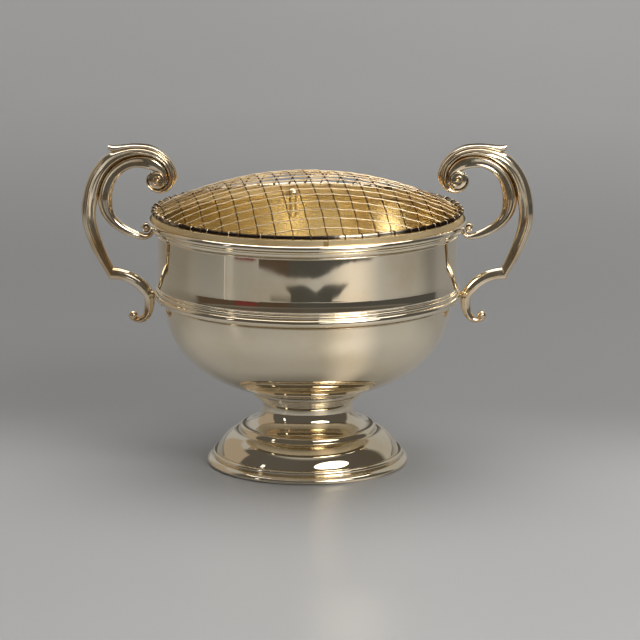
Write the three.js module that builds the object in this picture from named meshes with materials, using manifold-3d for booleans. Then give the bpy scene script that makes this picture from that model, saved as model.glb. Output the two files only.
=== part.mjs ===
// Two-handled rose bowl on a stepped foot, with a lift-off grille of domed wire mesh.
// Millimetres, +Z up. The origin is the centre of the resting face; the handles lie along X.
import * as THREE from 'three';
import { mergeVertices } from 'three/addons/utils/BufferGeometryUtils.js';
import Module from 'manifold-3d';

const wasm = await Module();
wasm.setup();

// General sizes
const GAP = 0.3;
const SHEET = 1;
const TURN_SIDES = 36;

// Foot, from the table upwards
const FOOT_RING_R = 63.7;
const FOOT_BAND_H = 4.4;
const FOOT_BEAD_H = 3.2;
const FOOT_BEAD_SETBACK = 3.5;
const FOOT_RING_W = 6.2;
const SKIRT_LIFT = 0.5;
const FOOT_DOME_H = 13;
const FOOT_STEP_R = 43.1;
const FOOT_STEP_H = 3.6;
const COVE_H = 12.2;
const NECK_R = 28.5;
const FLARE_H = 3.6;
const FLARE_OUT = 0.9;

// Calyx, the stepped ring between the neck and the bowl
const CALYX_IN = 5.4;
const CALYX_OUT = 5.2;
const CALYX_STEPS = 3;
const CALYX_STEP_H = 1.5;
const CALYX_LIFT = 3.7;

// Bowl: a full belly, a shoulder hidden by the girdle, and an upright wall
const BELLY_R = 90.7;
const BELLY_DEPTH = 63.7;
const BELLY_FULLNESS = 2.29;
const SHOULDER_OUT = 3.5;
const SHOULDER_H = 3.6;
const WALL_H = 44.1;

// Girdle moulding
const GIRDLE_DROP = 4.4;
const GIRDLE_H = 11.6;
const GIRDLE_FILLET = 1.1;
const GIRDLE_QUIRK = 1.3;
const GIRDLE_BEAD_R = 2.4;
const GIRDLE_REED_R = 1.4;

// Rim moulding, which forms the mouth that the grille sits in
const RIM_OUT = 5.8;
const RIM_H = 9.2;
const RIM_FILLET = 1.2;
const RIM_ROLL_R = 1.9;
const MOUTH_LIP = 2.6;
const MOUTH_DEPTH = 2.8;
const LEDGE_T = 1.2;
const LEDGE_W = 4.4;

// Grille: collar, ring wire, two tabs that hang inside the bowl, and two crossed layers of wires
const COLLAR_H = 5.8;
const COLLAR_T = 1;
const RING_WIRE_D = 2.4;
const TAB_W = 4.2;
const TAB_T = 1;
const TAB_DROP = 14.9;
const TAB_TURN = THREE.MathUtils.degToRad(6.2);
const WIRE_D = 0.9;
const LONG_COUNT = 18;
const CROSS_COUNT = 19;
const EDGE_PITCH = 0.31;
const WIRE_STEP = 20;
const GRILLE_RISE = 22;
const GRILLE_TWIST = THREE.MathUtils.degToRad(7.5);

// Handle castings
const STRAP_DEPTH = 10;
const SCROLL_DEPTH = 8;
const ELBOW_DEPTH = 8;
const CURL_DEPTH = 6;
const FOOT_SCROLL_DEPTH = 5.6;
const BALL_DEPTH = 7;
const CASTING_SIDES = 8;
const VOLUTE_R = 5.6;
const VOLUTE_BOSS_R = 2.2;
const VOLUTE_BOSS_DEPTH = 10;
const CURL_R = 3.6;
const BALL_R = 3.9;
const VOLUTE_EYE = [-1.9, 31.8];
const CURL_EYE = [5.5, 0.7];
const BALL_EYE = [12.9, -14.7];
const ELBOW_IN = [25, 16.3];
const ELBOW_OUT = [28.3, 8.7];

// Radii that follow from the sizes above
const skirtR = FOOT_RING_R - FOOT_RING_W;
const flareR = NECK_R + FLARE_OUT;
const calyxR = flareR + CALYX_OUT;
const calyxBoreR = flareR - CALYX_IN;
const wallR = BELLY_R + SHOULDER_OUT;
const rimR = wallR + RIM_OUT;
const mouthR = rimR - MOUTH_LIP;
const ledgeR = mouthR - LEDGE_W;

// Heights that follow from the sizes above
const footRingTop = FOOT_BAND_H + FOOT_BEAD_H;
const stepBottom = footRingTop + FOOT_DOME_H;
const stepTop = stepBottom + FOOT_STEP_H;
const neckZ = stepTop + COVE_H;
const footTop = neckZ + FLARE_H;
const bowlBottom = footTop + GAP + CALYX_LIFT + GAP;
const bellyTop = bowlBottom + BELLY_DEPTH;
const wallTop = bellyTop + WALL_H;
const ledgeTop = wallTop + GAP + LEDGE_T;
const mouthTop = ledgeTop + MOUTH_DEPTH;
const rimBottom = mouthTop - RIM_H;
const girdleBottom = bellyTop - GIRDLE_DROP;
const girdleTop = girdleBottom + GIRDLE_H;
const girdleBeadZ = girdleBottom + GIRDLE_FILLET + GIRDLE_QUIRK + GIRDLE_BEAD_R;
const collarTop = ledgeTop + GAP + COLLAR_H;
const ringZ = collarTop + GAP + RING_WIRE_D / 2;
const ringR = mouthR - GAP - RING_WIRE_D / 2;

// Points of a circular arc in the profile plane, angles in degrees
function arc(r, z, radius, from, to, steps) {
  const points = [];
  for (let i = 0; i <= steps; i++) {
    const angle = THREE.MathUtils.degToRad(from + (to - from) * (i / steps));
    points.push([r + radius * Math.cos(angle), z + radius * Math.sin(angle)]);
  }
  return points;
}

// Points of a Bezier curve in the profile plane
function bend(start, pull1, pull2, end, steps) {
  const vectors = [start, pull1, pull2, end].map(([r, z]) => new THREE.Vector2(r, z));
  return new THREE.CubicBezierCurve(...vectors).getPoints(steps).map(({ x, y }) => [x, y]);
}

// Belly profile from the axis outwards, set in by the sheet for the inside
function belly(inset, steps) {
  const points = [];
  for (let i = 0; i <= steps; i++) {
    const angle = (Math.PI / 2) * (1 - i / steps);
    const across = Math.abs(Math.cos(angle)) ** (2 / BELLY_FULLNESS);
    const down = Math.sin(angle) ** (2 / BELLY_FULLNESS);
    points.push([(BELLY_R - inset) * across, bellyTop - (BELLY_DEPTH - inset) * down]);
  }
  points[0][0] = 0;
  return points;
}

// Height of the belly's underside at a radius
function bellyZ(r) {
  const across = (r / BELLY_R) ** BELLY_FULLNESS;
  return bellyTop - BELLY_DEPTH * (1 - across) ** (1 / BELLY_FULLNESS);
}

// Turned solid from a profile that runs up the outside and down the inside
function turned(profile, closed = true) {
  const points = profile.map(([r, z]) => new THREE.Vector2(r, z));
  if (closed) points.push(points[0].clone());
  return new THREE.LatheGeometry(points, TURN_SIDES).rotateX(Math.PI / 2);
}

// Manifold solid of a closed geometry
function solidOf(geometry) {
  const bare = geometry.clone();
  bare.deleteAttribute('normal');
  bare.deleteAttribute('uv');
  const merged = mergeVertices(bare, 1e-4);
  const corners = merged.index.array;
  const triangles = [];
  for (let i = 0; i < corners.length; i += 3) {
    const [a, b, c] = corners.subarray(i, i + 3);
    if (a !== b && b !== c && c !== a) triangles.push(a, b, c);
  }
  const vertProperties = new Float32Array(merged.attributes.position.array);
  const mesh = new wasm.Mesh({ numProp: 3, vertProperties, triVerts: new Uint32Array(triangles) });
  return new wasm.Manifold(mesh);
}

// Geometry of a manifold solid
function geometryOf(solid) {
  const { vertProperties, triVerts } = solid.getMesh();
  const geometry = new THREE.BufferGeometry();
  geometry.setAttribute('position', new THREE.BufferAttribute(vertProperties, 3));
  geometry.setIndex(new THREE.BufferAttribute(triVerts, 1));
  geometry.computeVertexNormals();
  return geometry;
}

const silver = { color: 0xb9b19c, roughness: 0.16, metalness: 1 };
const castSilver = { color: 0xa8977e, roughness: 0.26, metalness: 1 };
const gilt = { color: 0xd2b067, roughness: 0.28, metalness: 1 };

function piece(name, geometry, finish) {
  const mesh = new THREE.Mesh(geometry, new THREE.MeshStandardMaterial(finish));
  mesh.name = name;
  return mesh;
}

// Foot ring: a plain band with a smaller bead on top, soldered round the skirt
function footRing() {
  const beadR = FOOT_BEAD_H / 2;
  const beadOut = FOOT_RING_R - FOOT_BEAD_SETBACK;
  return turned([
    [FOOT_RING_R - 0.9, 0],
    [FOOT_RING_R, 1.1],
    [FOOT_RING_R - 0.2, FOOT_BAND_H - 1],
    [FOOT_RING_R - 1.2, FOOT_BAND_H - 0.2],
    [beadOut - 0.3, FOOT_BAND_H],
    ...arc(beadOut - beadR, FOOT_BAND_H + beadR, beadR, -60, 60, 3),
    [skirtR + GAP, footRingTop],
    [skirtR + GAP, 0],
  ]);
}

// Foot: skirt, dome, step, cove and neck raised from one sheet, open underneath
function foot() {
  const outside = [
    [skirtR, SKIRT_LIFT],
    ...bend([skirtR, footRingTop], [skirtR - 2.6, footRingTop + FOOT_DOME_H * 0.55],
      [FOOT_STEP_R + 6.5, stepBottom - 0.6], [FOOT_STEP_R + 0.5, stepBottom], 5),
    [FOOT_STEP_R, stepBottom + 0.3],
    [FOOT_STEP_R - 0.5, stepTop - 1.2],
    [FOOT_STEP_R - 1.2, stepTop - 0.3],
    ...bend([FOOT_STEP_R - 2.6, stepTop], [NECK_R + 5.2, stepTop + COVE_H * 0.12],
      [NECK_R + 0.3, stepTop + COVE_H * 0.4], [NECK_R, neckZ], 5),
    ...bend([NECK_R + 0.1, neckZ + FLARE_H * 0.3], [NECK_R + 0.3, neckZ + FLARE_H * 0.6],
      [flareR - 0.5, footTop - FLARE_H * 0.2], [flareR, footTop], 2),
  ];
  const inside = [
    [flareR - SHEET, footTop],
    [NECK_R - SHEET, neckZ],
    ...bend([NECK_R - SHEET, neckZ], [NECK_R + 0.3 - SHEET, stepTop + COVE_H * 0.3],
      [NECK_R + 4.2, stepTop + COVE_H * 0.12 - SHEET], [FOOT_STEP_R - 2.6, stepTop - SHEET], 3).slice(1),
    [FOOT_STEP_R - 0.8 - SHEET, stepBottom],
    ...bend([FOOT_STEP_R, stepBottom - SHEET], [FOOT_STEP_R + 6 - SHEET, stepBottom - 0.6 - SHEET],
      [skirtR - 2.6 - SHEET, footRingTop + FOOT_DOME_H * 0.5], [skirtR - SHEET, footRingTop], 3),
    [skirtR - SHEET, SKIRT_LIFT],
  ];
  return turned([...outside, ...inside]);
}

// Calyx: steps outside, and a top that follows the belly
function calyx() {
  const bottom = footTop + GAP;
  const tread = (calyxR - flareR) / CALYX_STEPS;
  const profile = [[calyxBoreR, bottom]];
  for (let i = 0; i < CALYX_STEPS; i++) {
    const r = flareR + tread * (i + 1);
    profile.push([r - 0.4, bottom + CALYX_STEP_H * i], [r, bottom + CALYX_STEP_H * (i + 0.5)]);
  }
  profile.push([calyxR, bellyZ(calyxR) - GAP]);
  profile.push([(calyxR + calyxBoreR) / 2, bellyZ((calyxR + calyxBoreR) / 2) - GAP]);
  profile.push([calyxBoreR, bellyZ(calyxBoreR) - GAP]);
  return turned(profile);
}

// Bowl: belly, shoulder and wall raised from one sheet
function bowl() {
  const inR = BELLY_R - SHEET;
  return turned([
    ...belly(0, 12),
    [wallR, bellyTop + SHOULDER_H],
    [wallR, wallTop],
    [wallR - SHEET, wallTop],
    [wallR - SHEET, bellyTop + SHOULDER_H + SHEET / 2],
    [inR, bellyTop + SHEET / 2],
    ...belly(SHEET, 12).reverse(),
  ], false);
}

// Outline of the girdle from its bottom to its top, and of the rim up to its roll
function girdleOutline() {
  const reedZ = girdleBeadZ + GIRDLE_BEAD_R + GIRDLE_REED_R - 0.9;
  return [
    [BELLY_R + GIRDLE_FILLET, girdleBottom],
    [BELLY_R + GIRDLE_FILLET, girdleBottom + GIRDLE_FILLET],
    ...arc(wallR - 0.1, girdleBeadZ, GIRDLE_BEAD_R, -68, 56, 6),
    ...arc(wallR + 0.2, reedZ, GIRDLE_REED_R, -30, 60, 3),
    [wallR + GAP + 0.5, reedZ + GIRDLE_REED_R],
    [wallR + GAP + 0.4, girdleTop],
  ];
}

function rimOutline() {
  const rollZ = mouthTop - RIM_ROLL_R;
  return [
    [wallR + GAP + 0.4, rimBottom],
    [wallR + GAP + 0.8, rimBottom + RIM_FILLET],
    ...bend([wallR + 1.4, rimBottom + RIM_FILLET + 1], [wallR + 2.2, rollZ - 2.9],
      [rimR - 1.4, rollZ - 3], [rimR - 0.3, rollZ - 1.1], 3),
    ...arc(rimR - RIM_ROLL_R, rollZ, RIM_ROLL_R, 0, 90, 4),
  ];
}

function girdle() {
  return turned([
    ...girdleOutline(),
    [wallR + GAP, girdleTop],
    [wallR + GAP, bellyTop + SHOULDER_H - GAP / 2],
    [BELLY_R + GAP, bellyTop - GAP / 2],
    [BELLY_R + GAP, girdleBottom],
  ]);
}

function rim() {
  return turned([
    ...rimOutline(),
    [mouthR, mouthTop - 0.2],
    [mouthR, ledgeTop],
    [ledgeR, ledgeTop],
    [ledgeR, ledgeTop - LEDGE_T],
    [wallR + GAP, ledgeTop - LEDGE_T],
    [wallR + GAP, rimBottom],
  ]);
}

// Grille
function collar() {
  const outside = mouthR - GAP;
  return turned([
    [outside, ledgeTop + GAP],
    [outside, collarTop],
    [outside - COLLAR_T, collarTop],
    [outside - COLLAR_T, ledgeTop + GAP],
  ]);
}

function ringWire() {
  return turned(arc(ringR, ringZ, RING_WIRE_D / 2, -67.5, 247.5, 7));
}

// Tab: an upright strip clear of the ledge, bent outwards at its top to the collar's inside
function tab() {
  const flat = Math.cos(Math.PI / TURN_SIDES);
  const face = ledgeR * flat - GAP;
  const end = (mouthR - GAP - COLLAR_T) * flat - GAP;
  const top = collarTop - TAB_T;
  const bottom = ledgeTop + GAP - TAB_DROP;
  const profile = new THREE.Shape([
    new THREE.Vector2(face - TAB_T, bottom),
    new THREE.Vector2(face, bottom),
    new THREE.Vector2(face, top - TAB_T),
    new THREE.Vector2(end, top - TAB_T),
    new THREE.Vector2(end, top),
    new THREE.Vector2(face - TAB_T, top),
  ]);
  return new THREE.ExtrudeGeometry(profile, { depth: TAB_W, bevelEnabled: false })
    .translate(0, 0, -TAB_W / 2)
    .rotateX(Math.PI / 2);
}

// One wire of the dome: an arc in the upright plane at an offset from the middle
class WireLine extends THREE.Curve {
  constructor(offset, halfSpan, radius, centreZ) {
    super();
    Object.assign(this, { offset, radius, centreZ });
    this.sweep = Math.asin(halfSpan / Math.sqrt(radius ** 2 - offset ** 2));
  }

  getPoint(t, target = new THREE.Vector3()) {
    const angle = this.sweep * (2 * t - 1);
    const reach = Math.sqrt(this.radius ** 2 - this.offset ** 2);
    return target.set(reach * Math.sin(angle), this.offset, this.centreZ + reach * Math.cos(angle));
  }
}

const wireEndR = (ringR - RING_WIRE_D / 2) * Math.cos(Math.PI / TURN_SIDES) - GAP - WIRE_D / 2;
const domeR = (wireEndR ** 2 + GRILLE_RISE ** 2) / (2 * GRILLE_RISE);
const domeZ = ringZ + GRILLE_RISE - domeR;
const layerGap = GAP + WIRE_STEP ** 2 / (8 * domeR);
const wirePitch = (2 * wireEndR) / (CROSS_COUNT - 1 + 2 * EDGE_PITCH);

function wire(offset, layer) {
  const halfSpan = Math.sqrt(wireEndR ** 2 - offset ** 2);
  const line = new WireLine(offset, halfSpan, domeR + layer * (WIRE_D + layerGap) / 2, domeZ);
  const corners = arc(0, 0, WIRE_D / 2, 0, 288, 4).map(([x, y]) => new THREE.Vector2(x, y));
  const section = new THREE.Shape(corners);
  const steps = Math.ceil((2 * halfSpan) / WIRE_STEP);
  return new THREE.ExtrudeGeometry(section, { steps, bevelEnabled: false, extrudePath: line });
}

// Handle: three castings. Their points are [outwards, up, width], in millimetres from the solder
// point at the rim or at the girdle. A casting's guide edge runs through them, and its width is
// measured from that edge.
const rimPoint = [wallR + GAP + 0.8, rimBottom + RIM_FILLET];
const girdlePoint = [wallR + GIRDLE_BEAD_R, girdleBeadZ];
const fromPoint = ([x0, z0]) => ([x, z, width]) => new THREE.Vector3(x0 + x, z0 + z, width);
const fromRim = fromPoint(rimPoint);
const fromGirdle = fromPoint(girdlePoint);

// Point round the eye of the volute, a little outside its disc
function roundEye(degrees, extra, width) {
  const angle = THREE.MathUtils.degToRad(degrees);
  const r = VOLUTE_R + GAP + extra;
  return [VOLUTE_EYE[0] + r * Math.cos(angle), VOLUTE_EYE[1] + r * Math.sin(angle), width];
}

// The seam where strap and scroll lie side by side, with the width of each: [x, z, scroll, strap]
const SEAM = [
  [5, 46.8, 8, 7],
  [12, 46.8, 7.5, 7.9],
  [18.6, 44.9, 7.2, 8.5],
  [24.7, 41.2, 7.3, 8.5],
  [29.6, 36.1, 7.5, 8.4],
  [32.8, 30.4, 8.1, 8.7],
  [34.6, 24.8, 8.6, 9.1],
  [35.5, 19.7, 9.1, 9.4],
];
const SCROLL_START = [
  roundEye(180, 0.6, 5.2),
  roundEye(127, 3, 7.6),
  [-1.4, 44.7, 8.4],
];
const SCROLL_END = [
  [35, 14.6, 9],
  [32.3, 10.1, 8],
  [28.5, 5, 6.9],
  [24, -0.4, 6.4],
  [17.9, -4.5, 6],
  [10.3, -6.4, 5.3],
  [5.9, -6.3, 5],
  [2.5, -4.6, 4.8],
  [-0.6, -1.2, 4.6],
];
const STRAP_START = [
  roundEye(-18, 0.3, 1.6),
  roundEye(-45, 0.3, 1.9),
  roundEye(-75, 0.3, 2.2),
  roundEye(-110, 0.3, 2.8),
  roundEye(-145, 0.4, 4.4),
  roundEye(180, 0.6, 5.6),
  roundEye(127, 3, 5.6),
  [-1.4, 44.7, 6],
];
const STRAP_MIDDLE = [
  [36.9, 15.4, 9.3],
  [36.9, 8.9, 9],
  [36.1, 3.2, 8.9],
];
const STRAP_END = [
  [32.5, 34.6, 8.8],
  [28.7, 24.5, 8.4],
  [25, 16.3, 8.2],
];
const FOOT_SCROLL = [
  [25, 16.1, 7.8],
  [20.6, 15.4, 7.4],
  [13.5, 13.1, 7.4],
  [6.9, 9.1, 7.6],
  [2.3, 4.1, 7.4],
  [-0.1, -0.4, 6.9],
  [-0.6, -5, 6.5],
  [-0.1, -9.6, 6.2],
  [1.1, -13.6, 5.9],
  [3.1, -16.6, 5.4],
  [6.1, -18.9, 4.8],
  [9.5, -19.8, 4.2],
  [12.8, -19.1, 3.8],
];

// Samples along a casting: the guide edge, shifted if asked, and the far edge. side is 1 where the
// width lies to the left of the way the points run, and -1 where it lies to the right.
function stations(points, side, shift = 0) {
  const curve = new THREE.CatmullRomCurve3(points);
  const last = 2 * (points.length - 1);
  const samples = [];
  for (let i = 0; i <= last; i++) {
    const point = curve.getPoint(i / last);
    const tangent = curve.getTangent(i / last);
    const normal = new THREE.Vector2(-tangent.y, tangent.x).normalize().multiplyScalar(side);
    const guide = new THREE.Vector2(point.x, point.y).addScaledVector(normal, shift);
    samples.push({ guide, far: guide.clone().addScaledVector(normal, point.z) });
  }
  return samples;
}

// Bar through the samples, with a rounded section whose depth along Y tapers
function bar(samples, side, depthStart, depthEnd) {
  const last = samples.length - 1;
  const positions = [];
  samples.forEach(({ guide, far }, i) => {
    const half = THREE.MathUtils.lerp(depthStart, depthEnd, i / last) / 2;
    for (let k = 0; k < CASTING_SIDES; k++) {
      const angle = (side * 2 * Math.PI * (k + 0.5)) / CASTING_SIDES;
      const centre = guide.clone().lerp(far, (1 - Math.cos(angle)) / 2);
      positions.push(centre.x, half * Math.sin(angle), centre.y);
    }
  });
  const index = [];
  const lastRing = last * CASTING_SIDES;
  for (let k = 0; k < CASTING_SIDES; k++) {
    const next = (k + 1) % CASTING_SIDES;
    for (let ring = 0; ring < lastRing; ring += CASTING_SIDES) {
      const [a, b] = [ring + k, ring + next];
      index.push(a, b, b + CASTING_SIDES, a, b + CASTING_SIDES, a + CASTING_SIDES);
    }
    if (k > 0 && next > 0) {
      index.push(0, next, k);
      index.push(lastRing, lastRing + k, lastRing + next);
    }
  }
  const geometry = new THREE.BufferGeometry();
  geometry.setAttribute('position', new THREE.Float32BufferAttribute(positions, 3));
  geometry.setIndex(index);
  return solidOf(geometry);
}

// Disc with its axis along Y, and a knob, both centred on a point of the handle
function disc([x, z], radius, depth, sides) {
  return solidOf(new THREE.CylinderGeometry(radius, radius, depth, sides).translate(x, 0, z));
}

function knob([x, z], radius, depth) {
  const ball = new THREE.SphereGeometry(radius, 10, 8).scale(1, depth / (2 * radius), 1);
  return solidOf(ball.translate(x, 0, z));
}

// Space that the vessel takes at a solder point, which the casting is filed to
function bowlSpace(outline) {
  const bottom = outline[0][1];
  const top = outline[outline.length - 1][1];
  const wall = wallR + GAP;
  return solidOf(turned([
    [0, bottom - CURL_R * 3],
    [wall, bottom - CURL_R * 3],
    [wall, bottom - GAP],
    ...outline.map(([r, z]) => [r + GAP, z]),
    [0, top],
  ], false));
}

const at = ([x0, z0], [x, z]) => [x0 + x, z0 + z];

function strap() {
  const points = [
    ...STRAP_START.map(fromRim),
    ...SEAM.map(([x, z, , width]) => fromRim([x, z, width])),
    ...STRAP_MIDDLE.map(fromRim),
    ...STRAP_END.map(fromGirdle),
  ];
  const samples = stations(points, 1, GAP);
  const end = samples[samples.length - 1];
  end.guide.set(...at(girdlePoint, ELBOW_IN));
  end.far.set(...at(girdlePoint, ELBOW_OUT));
  return geometryOf(bar(samples, 1, STRAP_DEPTH, ELBOW_DEPTH));
}

function scroll() {
  const points = [
    ...SCROLL_START.map(fromRim),
    ...SEAM.map(fromRim),
    ...SCROLL_END.map(fromRim),
  ];
  const eye = at(rimPoint, VOLUTE_EYE);
  return geometryOf(bar(stations(points, -1), -1, SCROLL_DEPTH, CURL_DEPTH)
    .add(disc(eye, VOLUTE_R, SCROLL_DEPTH, 16))
    .add(disc(eye, VOLUTE_BOSS_R, VOLUTE_BOSS_DEPTH, 8))
    .add(knob(at(rimPoint, CURL_EYE), CURL_R, CURL_DEPTH))
    .subtract(bowlSpace(rimOutline())));
}

function footScroll() {
  const samples = stations(FOOT_SCROLL.map(fromGirdle), 1);
  const mitre = new THREE.Vector2(ELBOW_OUT[0] - ELBOW_IN[0], ELBOW_OUT[1] - ELBOW_IN[1]).normalize();
  const apart = new THREE.Vector2(mitre.y, -mitre.x).multiplyScalar(GAP);
  samples[0].guide.set(...at(girdlePoint, ELBOW_IN)).add(apart);
  samples[0].far.set(...at(girdlePoint, ELBOW_OUT)).add(apart);
  return geometryOf(bar(samples, 1, ELBOW_DEPTH, FOOT_SCROLL_DEPTH)
    .add(knob(at(girdlePoint, BALL_EYE), BALL_R, BALL_DEPTH))
    .subtract(bowlSpace(girdleOutline())));
}

function handle(side) {
  const group = new THREE.Group();
  group.add(
    piece(`handle_${side}_strap`, strap(), castSilver),
    piece(`handle_${side}_scroll`, scroll(), castSilver),
    piece(`handle_${side}_foot_scroll`, footScroll(), castSilver),
  );
  group.rotation.z = side === 'left' ? Math.PI : 0;
  return group;
}

// One layer of parallel wires, the same pitch apart in both layers
function wires(way, count, layer, turn) {
  return Array.from({ length: count }, (_, i) => {
    const number = String(i + 1).padStart(2, '0');
    const offset = wirePitch * (i - (count - 1) / 2);
    const mesh = piece(`grille_wire_${way}_${number}`, wire(offset, layer), gilt);
    mesh.rotation.z = turn;
    return mesh;
  });
}

// The grille lifts off as one, and its two layers of wires cross at right angles
function grille() {
  const group = new THREE.Group();
  group.add(piece('grille_collar', collar(), gilt), piece('grille_ring_wire', ringWire(), gilt));
  const tabBack = piece('grille_tab_back', tab(), gilt);
  tabBack.rotation.z = TAB_TURN + Math.PI / 2;
  const tabFront = piece('grille_tab_front', tab(), gilt);
  tabFront.rotation.z = TAB_TURN - Math.PI / 2;
  group.add(tabBack, tabFront);
  group.add(...wires('long', LONG_COUNT, 1, GRILLE_TWIST));
  group.add(...wires('cross', CROSS_COUNT, -1, GRILLE_TWIST + Math.PI / 2));
  return group;
}

const roseBowl = new THREE.Group();
roseBowl.add(
  piece('foot_ring', footRing(), silver),
  piece('foot', foot(), silver),
  piece('calyx', calyx(), silver),
  piece('bowl', bowl(), silver),
  piece('girdle', girdle(), silver),
  piece('rim', rim(), silver),
  handle('left'),
  handle('right'),
  grille(),
);

export default roseBowl;
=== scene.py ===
"""Looks of a two-handled rose bowl with a lift-off grille of gilt wire.

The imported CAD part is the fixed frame. Each sub-assembly below turns, sweeps or weaves its pieces in
millimetres with bmesh, dresses them in a worked metal and hands them to the frame.
"""

import logging
import random
from bisect import bisect_right
from dataclasses import dataclass, field
from enum import Enum
from math import copysign, cos, pi, radians, sin, sqrt, tau
from typing import Callable, Sequence

import bmesh
import bpy
from mathutils import Matrix, Vector
from mathutils.geometry import interpolate_bezier


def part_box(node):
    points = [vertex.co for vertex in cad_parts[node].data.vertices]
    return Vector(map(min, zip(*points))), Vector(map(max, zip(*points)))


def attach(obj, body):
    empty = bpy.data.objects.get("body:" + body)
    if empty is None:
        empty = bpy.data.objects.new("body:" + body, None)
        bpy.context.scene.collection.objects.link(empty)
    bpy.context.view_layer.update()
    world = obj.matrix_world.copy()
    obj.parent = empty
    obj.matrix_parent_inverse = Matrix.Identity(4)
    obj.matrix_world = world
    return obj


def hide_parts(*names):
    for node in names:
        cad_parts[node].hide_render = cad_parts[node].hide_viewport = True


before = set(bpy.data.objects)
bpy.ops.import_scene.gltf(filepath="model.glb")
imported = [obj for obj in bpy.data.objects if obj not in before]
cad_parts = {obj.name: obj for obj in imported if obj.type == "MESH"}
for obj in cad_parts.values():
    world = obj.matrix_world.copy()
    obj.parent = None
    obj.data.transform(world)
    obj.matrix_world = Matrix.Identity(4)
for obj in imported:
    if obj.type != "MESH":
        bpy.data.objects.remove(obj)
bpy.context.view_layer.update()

LOG = logging.getLogger("rose_bowl")
MM = 0.001
TURN_STEPS = 160
CUT_REACH = 20.0

Point = tuple[float, float]
Knot = tuple[float, float, float]
Colour = tuple[float, float, float]
Socket = bpy.types.NodeSocket
Tint = Colour | Socket


class Slot(Enum):
    """The record's material slots."""

    POLISHED = "polished_silver"
    CAST = "cast_silver"
    GILT = "gilt_wire"


class Body(Enum):
    """The CAD bodies that pieces ride on."""

    VESSEL = "vessel"
    GRILLE = "grille"


class Side(Enum):
    """Which handle, with its turn about the upright axis in degrees."""

    RIGHT = 0
    LEFT = 180


def heights(node: str) -> tuple[float, float]:
    """Gives the heights of a CAD node's bottom and top in millimetres."""
    low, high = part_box(node)
    return low.z / MM, high.z / MM


def keyed(keys: Sequence[Point], place: float) -> float:
    """Reads a value off a list of keys, with straight lines between them.

    Args:
        keys: (place, value) pairs in order.
        place: where to read.

    Returns:
        The value there, held at the ends.
    """
    if place <= keys[0][0]:
        return keys[0][1]
    for (a, low), (b, high) in zip(keys, keys[1:]):
        if place <= b:
            return low + (high - low) * (place - a) / (b - a)
    return keys[-1][1]


def arc(r: float, z: float, radius: float, start: float, end: float, steps: int) -> list[Point]:
    """Gives a circular arc round (r, z) between two angles in degrees, 0 outwards and 90 up."""
    angles = [radians(start + (end - start) * i / steps) for i in range(steps + 1)]
    return [(r + radius * cos(a), z + radius * sin(a)) for a in angles]


def bend(start: Point, pull1: Point, pull2: Point, end: Point, steps: int) -> list[Point]:
    """Gives a Bezier curve from start to end with a handle for each."""
    vectors = [Vector(p) for p in (start, pull1, pull2, end)]
    return [tuple(v) for v in interpolate_bezier(*vectors, steps + 1)]


def between(a: float, b: float, share: float) -> float:
    """Gives the value at a share of the way from a to b."""
    return a + (b - a) * share


def headings(path: Sequence[Vector]) -> list[Vector]:
    """Gives the unit direction of a path at each of its points."""
    ends = zip([path[0], *path[:-1]], [*path[1:], path[-1]])
    return [(after - before).normalized() for before, after in ends]


def moved(points: Sequence[tuple[float, ...]], by: Point) -> list[tuple[float, ...]]:
    """Moves points or knots outwards and up, and keeps a knot's width."""
    return [(by[0] + x, by[1] + z, *width) for x, z, *width in points]


def placed(name: str, data: bpy.types.Mesh | bpy.types.Light | bpy.types.Camera) -> bpy.types.Object:
    """Makes an object of a mesh, lamp or camera and links it to the scene."""
    obj = bpy.data.objects.new(name, data)
    bpy.context.scene.collection.objects.link(obj)
    return obj


def skin(bm: bmesh.types.BMesh, name: str, *metals: bpy.types.Material) -> bpy.types.Object:
    """Turns a finished bmesh into a smooth object in the scene.

    Args:
        bm: the mesh, in metres, which is freed.
        name: the object's name.
        metals: its materials, in the order of the faces' numbers.

    Returns:
        The object.
    """
    mesh = bpy.data.meshes.new(name)
    bm.to_mesh(mesh)
    bm.free()
    mesh.shade_smooth()
    for metal in metals:
        mesh.materials.append(metal)
    return placed(name, mesh)


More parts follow.
